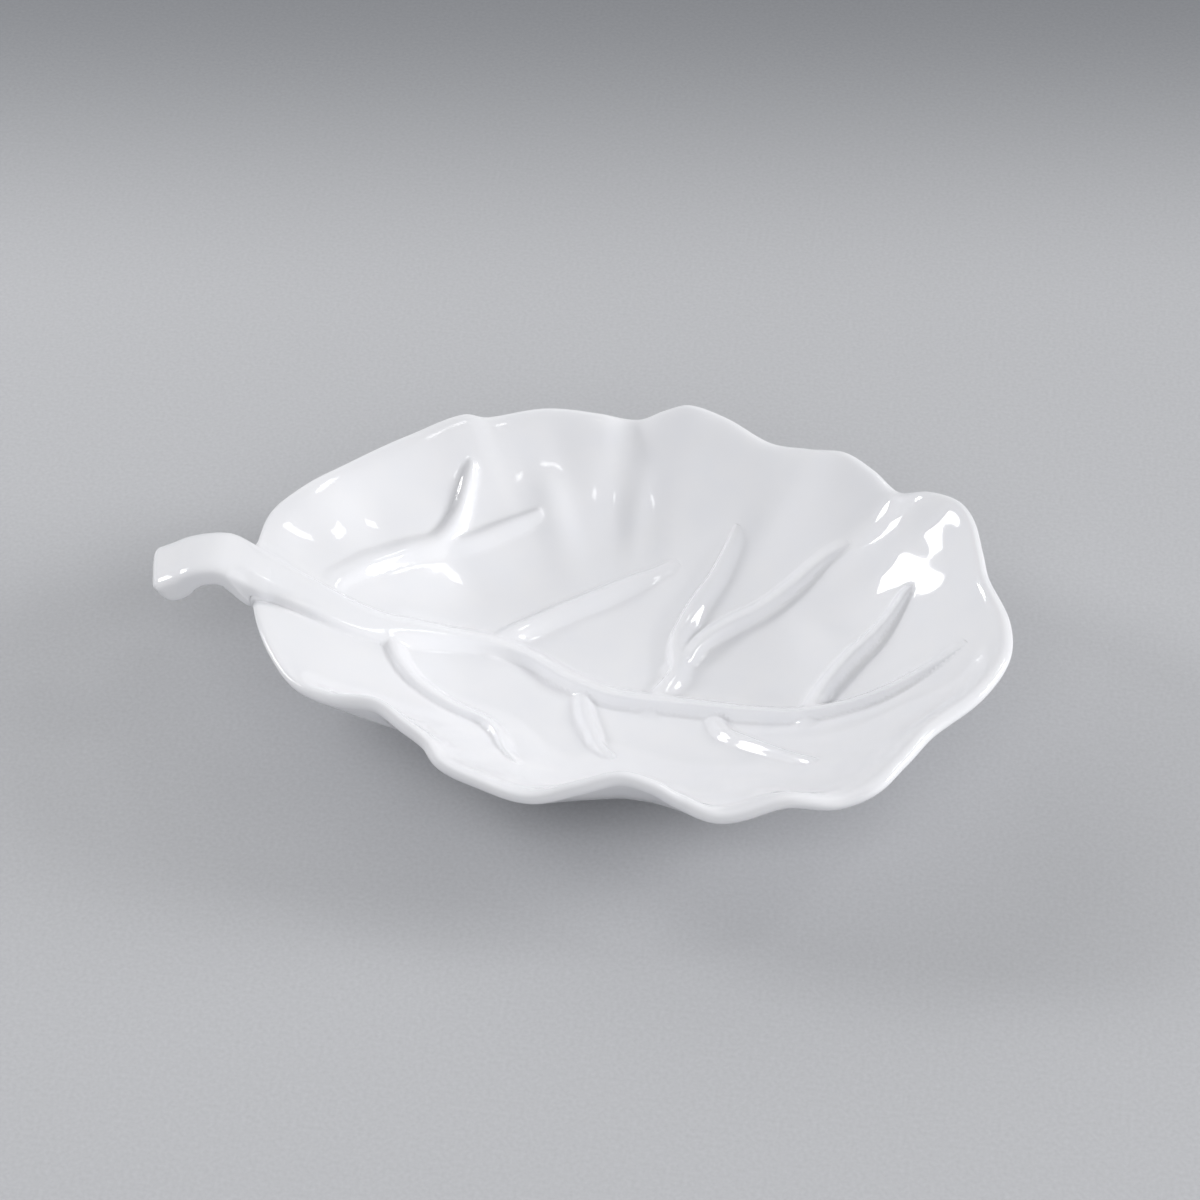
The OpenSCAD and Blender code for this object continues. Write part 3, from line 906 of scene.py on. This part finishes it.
@dataclass(frozen=True)
class PaintedBoard:
    """A pale grey painted board under the dish, rolled on: matt and finely grained, with painted shade that
    darkens its far end.

    The roller's grain is a little coarser than a real one, so that it shows.
    """

    near: str = "#C0C1C4"
    # Painted shade: the far grey darkens the board towards the back, where the lamps' light falls off.
    far: str = "#888A8E"
    shine: float = 0.2
    speck: float = 0.12
    grain_mm: float = 1.2
    fade_start: float = 0.18
    fade_end: float = 0.40
    # The camera's bearing, which turns the painted shade to run straight back from the camera.
    bearing: float = 8.0

    def material(self) -> bpy.types.Material:
        """The board's grain, over a colour darkened with the distance back as painted shade.

        Returns:
            The new material.
        """
        made, tree = bare_material("painted_board")
        place = add_node(tree, "ShaderNodeTexCoord", {}, {}).outputs["Object"]
        dots = {"Scale": 1 / (self.grain_mm * MM), "Detail": 4.0}
        grain = add_node(tree, "ShaderNodeTexNoise", dots, {"Vector": place}).outputs["Fac"]
        bearing = {"Rotation": (0, 0, -math.radians(self.bearing))}
        turned = add_node(tree, "ShaderNodeMapping", bearing, {"Vector": place}).outputs["Vector"]
        back = add_node(tree, "ShaderNodeSeparateXYZ", {}, {"Vector": turned}).outputs["Y"]
        run = {"interpolation_type": "SMOOTHSTEP", "From Min": self.fade_start, "From Max": self.fade_end}
        # Painted shade: the share of the far grey grows with the distance back from the camera.
        far_shade_share = add_node(tree, "ShaderNodeMapRange", run, {"Value": back}).outputs["Result"]
        greys = {"data_type": "RGBA", MIX_FIRST: linear(self.near), MIX_SECOND: linear(self.far)}
        shade = add_node(tree, "ShaderNodeMix", greys, {"Factor": far_shade_share}).outputs[MIX_RESULT]
        span = {"To Min": 1 - self.speck, "To Max": 1 + self.speck}
        value = add_node(tree, "ShaderNodeMapRange", span, {"Value": grain}).outputs["Result"]
        specked = add_node(tree, "ShaderNodeHueSaturation", {}, {"Color": shade, "Value": value})
        paint = {"Roughness": Gloss.BOARD.value, "Specular IOR Level": self.shine}
        colour = {"Base Color": specked.outputs["Color"]}
        body = add_node(tree, "ShaderNodeBsdfPrincipled", paint, colour)
        add_node(tree, "ShaderNodeOutputMaterial", {}, {"Surface": body.outputs["BSDF"]})
        return made


@dataclass
class Blade:
    """The leaf itself: its upper face, a rolled lip and its underside, as one closed skin."""

    form: LeafForm
    seat: Seat
    around: int = 620
    inner_rows: int = 108
    lip_rows: int = 10
    outer_rows: int = 26
    crowd: float = 0.85
    fine_angles: int = 7201
    stalk_crowd: float = 2.0
    stalk_fan: float = 11.0
    rim_strip: float = 0.02
    nose: float = 0.3
    tuck: float = 3.0
    bulge: float = 1.6
    lip_feel: float = 0.004
    slope_feel: float = 0.3
    rib_fade: float = 0.1
    stalk_side: float = -4.5
    stalk_clear: float = 11.0
    stalk_fade: float = 6.0
    pad_share: float = 0.385
    fillet_share: float = 0.07

    def angles(self) -> Array:
        """Angles whose rays meet the rim at even steps of its length, but closer by the stalk.

        Returns:
            The angles from the tip in degrees.
        """
        fine = np.linspace(0, 360, self.fine_angles)
        x, y = self.form.plan(np.ones_like(fine), fine)
        off = (fine - self.form.stalk_angle) / self.stalk_fan
        close = 1 + self.stalk_crowd * np.exp(-(off**2))
        run = np.concatenate([[0], np.cumsum(np.hypot(np.diff(x), np.diff(y)) * close[1:])])
        return np.interp(np.linspace(0, run[-1], self.around, endpoint=False), run, fine)

    def lip_start(self, angle: Array, back: float) -> Array:
        """The share so many millimetres of wall short of the rim.

        Args:
            angle: Angles from the tip in degrees.
            back: The millimetres.

        Returns:
            The shares of the way out.
        """
        x, y = self.form.plan(np.array([[1.0], [1 - self.rim_strip]]), angle)
        run = np.diff(np.stack([x, y, self.form.bowl(x, y)], -1), axis=0)[0]
        return 1 - self.rim_strip * back / np.linalg.norm(run, axis=-1)

    def inside(self, share: Array, angle: Array) -> Array:
        """Points of the upper face."""
        x, y = self.form.plan(share, angle)
        return np.stack([x, y, self.form.skin(x, y)], -1)

    def ribbed(self, x: Array, y: Array, keep: Array) -> Array:
        """Height of the bowl with a share of its ribs."""
        return self.form.bowl(x, y) + keep * self.form.relief(x, y)

    def outside(self, share: Array, angle: Array, rim_share: Array) -> Array:
        """Points of the underside: the bowl moved by the wall's thickness along its normal.

        Next to the lip it takes on the upper face's ribs but not the stalk, and they die away over
        rib_fade of the way in. The normal comes from slopes over a short run to each side.

        Args:
            share: Shares of the way out.
            angle: Angles round the oval.
            rim_share: The shares at which the upper face ends.

        Returns:
            Rows of x, y and z.
        """
        x, y = self.form.plan(share, angle)
        keep = np.clip(1 - (rim_share - share) / self.rib_fade, 0, 1) ** 2
        from_stalk = np.hypot(x + HALF_LENGTH, y - self.stalk_side)
        keep = keep * smoothstep(0, self.stalk_fade, from_stalk - self.stalk_clear)
        feel = self.slope_feel
        slope_x = (self.ribbed(x + feel, y, keep) - self.ribbed(x - feel, y, keep)) / (2 * feel)
        slope_y = (self.ribbed(x, y + feel, keep) - self.ribbed(x, y - feel, keep)) / (2 * feel)
        normal = unit(np.stack([-slope_x, -slope_y, np.ones_like(x)], -1))
        return np.stack([x, y, self.ribbed(x, y, keep)], -1) - normal * self.form.wall

    def lip(self, angle: Array, start: Array, under: Array) -> Array:
        """The lip: a cubic from the upper face round to the underside, in line with both.

        The underside begins further back, so that the lip's edge stands upright.

        Args:
            angle: Angles round the oval.
            start: The shares at which the upper face ends.
            under: The shares at which the underside begins.

        Returns:
            Points by step of the turn and by angle, without the first.
        """
        upper, lower = self.inside(start, angle), self.outside(under, angle, start)
        leave = unit(self.inside(start + self.lip_feel, angle) - upper)
        arrive = unit(self.outside(under + self.lip_feel, angle, start) - lower)
        slope = self.bulge * np.linalg.norm(upper - lower, axis=-1, keepdims=True)
        t = (np.arange(1, self.lip_rows + 1) / self.lip_rows)[:, None, None]
        return cubic(upper, lower, slope * leave, -slope * arrive, t)

    def build(self) -> bpy.types.Object:
        """The blade's closed mesh: rings over its face, round its lip and under it, with fans.

        Returns:
            The new object.
        """
        angle = self.angles()
        start = self.lip_start(angle, self.nose)
        under = self.lip_start(angle, self.nose + self.tuck)
        inner_shares = (np.arange(1, self.inner_rows + 1) / self.inner_rows)[:, None] ** self.crowd * start
        inner = self.inside(inner_shares, np.broadcast_to(angle, inner_shares.shape))
        down = np.linspace(0, 1, self.outer_rows + 1)[1:, None]
        outer_shares = under + (self.pad_share + self.fillet_share - under) * down
        outer = self.outside(outer_shares, np.broadcast_to(angle, outer_shares.shape), start)
        bottom = self.form.foot_height
        x, y = self.form.plan(np.full_like(angle, self.pad_share), angle)
        pad = np.stack([x, y, np.full_like(x, bottom)], -1)[None]
        rings = np.concatenate([inner, self.lip(angle, start, under), outer, pad])
        middle = np.zeros(1)
        top = np.array([0, 0, self.form.skin(middle, middle)[0]])
        points = np.vstack([rings.reshape(-1, 3), top, [0, 0, bottom]])
        first = np.arange(self.around)
        last = first + (len(rings) - 1) * self.around
        fans = [(len(points) - 2, first, False), (len(points) - 1, last, True)]
        faces = grid_faces(len(rings), self.around)[:, ::-1]
        return make_mesh("leaf_blade", self.seat.place(points), faces, fans)


@dataclass
class VeinStrip:
    """One rib as its own closed piece: its crown stands on the leaf and its bed lies inside the wall."""

    form: LeafForm
    seat: Seat
    rib: Rib
    start_x: float | None = None
    across: int = 28
    steps: int = 12
    bed_depth: float = 0.9
    bed_least: float = 0.05
    face_depth: float = 0.006
    edge_depth: float = 0.03
    edge_start: float = 0.8
    joint_depth: float = 0.05
    joint_heights: tuple[float, float] = (0.02, 0.3)
    root_depth: float = 0.25
    root_share: float = 0.05

    def build(self) -> bpy.types.Object:
        """The rib's closed mesh.

        Its crown lies just over the blade's, which is sunk under it. It dips under the blade's at
        both edges, where another rib is the higher one, and at its root.

        Returns:
            The new object.
        """
        line = self.rib.line(self.steps)
        along = unit(np.gradient(line, axis=0))
        side = np.stack([-along[:, 1], along[:, 0]], -1)
        share = np.linspace(0, 1, len(line))
        if self.start_x is not None:
            kept = line[:, 0] >= self.start_x
            line, side, share = line[kept], side[kept], share[kept]
        u = np.cos(np.linspace(math.pi, 0, self.across + 1))
        spread = u * self.rib.half(share[:, None], np.sign(u)[None])
        x, y = np.moveaxis(line[:, None] + side[:, None] * spread[..., None], -1, 0)
        total = self.form.relief(x, y)
        own = self.rib.relief(x, y)
        at_root = self.root_depth * (1 - smoothstep(0, self.root_share, share - share[0]))[:, None]
        at_edge = (self.edge_depth + self.form.sink(total)) * smoothstep(self.edge_start, 1, np.abs(u))
        crossed = smoothstep(*self.joint_heights, total) * (1 - own / np.maximum(total, TINY))
        dive = self.face_depth + at_root + at_edge + self.joint_depth * crossed
        top = self.form.soft(x, y) + total - dive
        bed = top - np.minimum(self.bed_depth, self.bed_least + total) - self.bed_least
        upper = np.stack([x, y, top], -1)
        lower = np.stack([x, y, bed], -1)
        rings = np.concatenate([upper[:, ::-1], lower], 1)
        return closed_tube(self.rib.name, rings, self.seat, self.across + 1)


@dataclass
class StalkHandle:
    """The stalk: a round-edged strap that grows out of the midrib, arches up and curls down."""

    form: LeafForm
    seat: Seat
    square_power: float = 4.0
    corner: float = 2.9
    corner_steps: int = 10
    corner_draw: float = 1.5
    across: int = 48
    rings: int = 110
    inner_end: float = 8.0
    blend: tuple[float, float] = (-6.0, 0.5)
    bed: float = 2.4
    lift: float = 0.02
    end_start: float = 3.0
    end_depth: float = 0.2
    edge_start: float = 0.93
    edge_depth: float = 0.35
    skew: float = 0.22
    skew_shift: float = 0.8
    skew_shares: tuple[float, float] = (0.3, 0.95)
    slope_feel: float = 0.4

    def free_rings(self, x: Array, inset: Array) -> Array:
        """Rings of the free strap: the rounded oblong |a|^p + |b|^p = 1, hung square under its top line.

        Towards its end the strap is cut askew: its front side is the shorter one.

        Args:
            x: Where each ring's top is along X.
            inset: How far each ring is drawn in all round.

        Returns:
            Points by ring, first over the top and then back under.
        """
        stalk = self.form.stalk
        top, width, thickness, side = stalk.sizes(x)
        feel = self.slope_feel
        slope = (stalk.sizes(x + feel)[0] - stalk.sizes(x - feel)[0]) / (2 * feel)
        up = unit(np.stack([-slope, np.zeros_like(x), np.ones_like(x)], -1))
        theta = (np.arange(self.across) + 0.5) * math.pi / self.across
        a = np.sign(np.cos(theta)) * np.abs(np.cos(theta)) ** (2 / self.square_power)
        b = (1 - np.abs(a) ** self.square_power) ** (1 / self.square_power)
        a, b = np.concatenate([a, a[::-1]]), np.concatenate([b, -b])
        middle = np.stack([x, side, top], -1) - up * thickness[:, None] / 2
        wide = (width / 2 - self.corner_draw * inset)[:, None] * a
        high = (thickness / 2 - inset)[:, None] * b
        rings = middle[:, None] + up[:, None] * high[..., None]
        near_end = smoothstep(*self.skew_shares, (stalk.rim_x - x) / stalk.reach)[:, None]
        rings[..., 0] += near_end * (self.skew_shift - self.skew * wide)
        rings[..., 1] += wide
        return rings

    def build(self) -> bpy.types.Object:
        """The stalk's closed mesh.

        Over the leaf its top is the leaf's own skin with the midrib's start, and its bed lies in
        the wall. Off the leaf it is the free strap, and across the rim one turns into the other.
        The end's edges are quarter rounds: inset r (1 - sin f) at a distance r (1 - cos f).

        Returns:
            The new object.
        """
        rim = self.form.stalk.rim_x
        tip = rim - self.form.stalk.reach
        turn = np.linspace(0, math.pi / 2, self.corner_steps + 1)[:-1]
        end = self.free_rings(tip + self.corner * (1 - np.cos(turn)), self.corner * (1 - np.sin(turn)))
        along = np.linspace(tip + self.corner, rim + self.inner_end, self.rings)
        rings = self.free_rings(along, np.zeros_like(along))
        start, stop = self.blend
        on_leaf = smoothstep(rim + start, rim + stop, along)[:, None]
        x = np.broadcast_to(along[:, None], rings.shape[:2])
        y = rings[..., 1]
        v = (y - y.mean(1, keepdims=True)) / np.ptp(y, axis=1)[:, None] * 2
        at_end = self.end_depth * smoothstep(rim + self.end_start, rim + self.inner_end, x)
        at_edge = self.edge_depth * smoothstep(self.edge_start, 1, np.abs(v))
        over = np.arange(2 * self.across) < self.across
        soft = self.form.soft(x, y)
        goal = np.where(over, soft + self.form.relief(x, y), soft - self.bed)
        goal = goal - at_end - at_edge + self.lift
        rings[..., 0] += (x - rings[..., 0]) * on_leaf
        rings[..., 2] += (goal - rings[..., 2]) * on_leaf
        return closed_tube("stem_handle", np.concatenate([end, rings]), self.seat)


@dataclass
class FootRing:
    """The oval foot: a low ring that flares into the blade's underside, with a bare flat foot."""

    seat: Seat
    length: float = 80.0
    width: float = 58.0
    thickness: float = 5.0
    height: float = 4.0
    into_blade: float = 0.25
    edge: float = 0.8
    flare: float = 1.6
    corner_rows: int = 7
    bare_share: float = 0.6
    around: int = 240

    def profile(self) -> tuple[Array, Array]:
        """The ring's section from the inside top, down, over the flat and up the outside.

        Each flare and edge is a quarter round: r (1 - sin f) by r (1 - cos f).

        Returns:
            Offsets outwards from the ring's inner wall, and heights.
        """
        turn = np.linspace(0, math.pi / 2, self.corner_rows)
        sine, cosine = 1 - np.sin(turn), 1 - np.cos(turn)
        flare = np.stack([-self.flare * sine, self.height + self.into_blade - self.flare * cosine], -1)
        inner = np.vstack([flare, self.edge * np.stack([cosine, sine], -1)])
        outer = np.stack([self.thickness - inner[::-1, 0], inner[::-1, 1]], -1)
        section = np.vstack([inner, outer])
        return section[:, 0], section[:, 1]

    def build(self) -> bpy.types.Object:
        """The ring's closed mesh: the section carried round the oval.

        Returns:
            The new object, with its bare foot in its second material slot.
        """
        out, z = self.profile()
        angle = np.linspace(0, 2 * math.pi, self.around, endpoint=False)
        x = (self.length / 2 - self.thickness + out[:, None]) * np.cos(angle)
        y = (self.width / 2 - self.thickness + out[:, None]) * np.sin(angle)
        rings = np.stack([x, y, np.broadcast_to(z[:, None], x.shape)], -1)
        faces = grid_faces(len(rings), self.around, True)
        made = make_mesh("foot_ring", self.seat.place(rings.reshape(-1, 3)), faces, [])
        highest = rings[..., 2].reshape(-1)[faces].max(1)
        bare = (highest < self.bare_share * self.edge).astype(np.int32)
        made.data.polygons.foreach_set("material_index", bare)
        return made


@dataclass(frozen=True)
class SoftBox:
    """An oblong soft light that faces the dish.

    Its direction counts to the camera's right, away from the camera, and up. Its distance and
    sizes are in metres and its power in watts. The glaze doesn't mirror a fill, which stands for
    light from all round the room and has no outline of its own.
    """

    name: str
    toward: tuple[float, float, float]
    distance: float
    width: float
    height: float
    power: float
    mirrored: bool = True

    def hang(self, right: Vector, away: Vector, aim: Vector) -> None:
        """Hangs the light.

        Args:
            right: The level direction to the camera's right.
            away: The level direction away from the camera.
            aim: The point that it faces.
        """
        across, back, up = self.toward
        way = (right * across + away * back + Vector((0, 0, up))).normalized()
        data = bpy.data.lights.new(self.name, "AREA")
        data.shape = "RECTANGLE"
        data.size = self.width
        data.size_y = self.height
        data.energy = self.power
        made = bpy.data.objects.new(self.name, data)
        made.location = aim + way * self.distance
        made.rotation_mode = "QUATERNION"
        made.rotation_quaternion = (-way).to_track_quat("-Z", "Y")
        made.visible_glossy = self.mirrored
        bpy.context.scene.collection.objects.link(made)


LIGHTS: tuple[SoftBox, ...] = (
    SoftBox("window_right", (0.92, 0.08, 0.34), 2.4, 0.77, 0.86, 32.0),
    SoftBox("window_left", (-0.82, 0.30, 0.42), 1.4, 0.36, 0.26, 6.3),
    SoftBox("high_window", (0.64, 0.28, 0.71), 1.4, 0.18, 0.22, 0.9),
    SoftBox("front_lamp", (0.30, -0.55, 0.78), 1.4, 0.12, 0.10, 0.2),
    SoftBox("front_fill", (0.0, -0.70, 0.70), 1.5, 1.4, 0.8, 7.2, False),
    SoftBox("right_fill", (0.75, -0.45, 0.48), 1.5, 0.8, 0.8, 2.2, False),
    SoftBox("back_fill", (-0.50, 0.72, 0.50), 1.5, 1.0, 0.8, 5.2, False),
)


@dataclass
class Studio:
    """The board under the dish, the soft lights and the camera, placed by the camera's own bearings."""

    seat: Seat
    azimuth: float = 8.0
    elevation: float = 42.0
    distance: float = 1.15
    px_per_mm: float = 3.30
    picture_px: float = 1200.0
    sensor_mm: float = 36.0
    target: tuple[float, float, float] = (-14.1, 43.9, 0.0)
    aim_height: float = 0.03
    half_board: float = 3.0
    air: str = "#E8E9EC"
    air_strength: float = 0.30

    def bearings(self) -> tuple[Vector, Vector]:
        """Level directions to the camera's right and away from it."""
        a = math.radians(self.azimuth)
        return Vector((math.cos(a), math.sin(a), 0)), Vector((-math.sin(a), math.cos(a), 0))

    def camera(self) -> None:
        """The camera at the photograph's angle, with the lens that gives the photograph's scale."""
        e = math.radians(self.elevation)
        back = Vector((0, 0, math.sin(e))) - self.bearings()[1] * math.cos(e)
        data = bpy.data.cameras.new("camera")
        data.sensor_width = self.sensor_mm
        data.lens = self.px_per_mm * self.distance / MM * self.sensor_mm / self.picture_px
        made = bpy.data.objects.new("camera", data)
        made.location = Vector(self.seat.place(np.array(self.target))) + back * self.distance
        made.rotation_mode = "QUATERNION"
        made.rotation_quaternion = (-back).to_track_quat("-Z", "Y")
        bpy.context.scene.collection.objects.link(made)
        bpy.context.scene.camera = made

    def board(self) -> None:
        """The board that the dish stands on."""
        corners = self.half_board * np.array([[-1, -1, 0], [1, -1, 0], [1, 1, 0], [-1, 1, 0]])
        made = make_mesh("floor_board", corners, np.array([[0, 1, 2, 3]]), [])
        made.data.materials.append(PaintedBoard().material())

    def build(self) -> None:
        """Board, lights, world and camera."""
        self.board()
        right, away = self.bearings()
        for light in LIGHTS:
            light.hang(right, away, Vector((0, 0, self.aim_height)))
        world = bpy.data.worlds.new("studio_air")
        world.use_nodes = True
        air = world.node_tree.nodes["Background"].inputs
        air["Color"].default_value = linear(self.air)
        air["Strength"].default_value = self.air_strength
        bpy.context.scene.world = world
        self.camera()
        bpy.context.scene.view_settings.view_transform = "Standard"


@dataclass
class LeafDish:
    """The whole dish: its form and the pieces that dress each CAD node."""

    seat: Seat
    vein_width: float = 9.5
    vein_height: float = 2.9
    midrib_width: float = 10.5
    midrib_height: float = 3.3
    midrib_start: float = 6.5

    def ribs(self) -> tuple[Rib, ...]:
        """The dish's ribs, with the side veins' sizes as shares of the common ones.

        Returns:
            The midrib first, then the side veins.
        """
        w, h = self.vein_width, self.vein_height
        midrib = Rib(
            "midrib",
            MIDRIB_SHARES,
            self.midrib_width,
            self.midrib_height,
            lean=0.5,
            widths=MIDRIB_WIDTH_SHARES,
            heights=MIDRIB_HEIGHT_SHARES,
            flat=0.42,
        )
        return (
            midrib,
            Rib("back_vein_1", BACK_VEIN_1_SHARES, w, h, 0.15, heights=LOW_ROOT_HEIGHT_SHARES),
            Rib("back_vein_1_branch", BACK_VEIN_1_BRANCH_SHARES, 0.75 * w, 0.65 * h),
            Rib("back_vein_2", BACK_VEIN_2_SHARES, w, 0.85 * h, -0.1),
            Rib("back_vein_3", BACK_VEIN_3_SHARES, 0.95 * w, 1.2 * h, -0.4),
            Rib("back_vein_3_branch", BACK_VEIN_3_BRANCH_SHARES, w, 1.2 * h, 0.45),
            Rib("back_vein_4", BACK_VEIN_4_SHARES, w, 1.45 * h, 0.4),
            Rib("front_vein_1", FRONT_VEIN_1_SHARES, 0.9 * w, 0.85 * h, 0.4),
            Rib("front_vein_2", FRONT_VEIN_2_SHARES, 0.8 * w, 0.8 * h),
            Rib("front_vein_3", FRONT_VEIN_3_SHARES, 0.8 * w, 0.8 * h),
        )

    def finish_piece(
        self, made: bpy.types.Object, node: str, slot: str, *finishes: bpy.types.Material
    ) -> None:
        """Dresses a piece, sets it on the frame and reports it.

        Args:
            made: The piece.
            node: The CAD node that it stands for.
            slot: Not used.
            finishes: Its materials in order.
        """
        for finish in finishes:
            made.data.materials.append(finish)
        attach(made, "root")
        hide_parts(node)
        LOG.info("%s: %d faces, stands for %s", made.name, len(made.data.polygons), node)

    def build(self) -> None:
        """Every piece of the dish."""
        glaze = GlazedPorcelain().material()
        form = LeafForm(ribs=self.ribs())
        self.finish_piece(Blade(form, self.seat).build(), "blade", "glaze", glaze)
        for rib in form.ribs:
            start_x = self.midrib_start - HALF_LENGTH if rib.name == "midrib" else None
            strip = VeinStrip(form, self.seat, rib, start_x)
            self.finish_piece(strip.build(), rib.name, "glaze", glaze)
        self.finish_piece(StalkHandle(form, self.seat).build(), "stem_handle", "glaze", glaze)
        foot = FootRing(self.seat).build()
        self.finish_piece(foot, "foot_ring", "biscuit", glaze, Biscuit().material())


def main() -> None:
    """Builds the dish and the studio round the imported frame."""
    logging.basicConfig(level=logging.INFO, format="%(name)s: %(message)s")
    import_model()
    low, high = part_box("foot_ring")
    middle = (low + high) / 2 / MM
    seat = Seat(middle.x, middle.y)
    LeafDish(seat).build()
    Studio(seat).build()


if __name__ == "__main__":
    main()
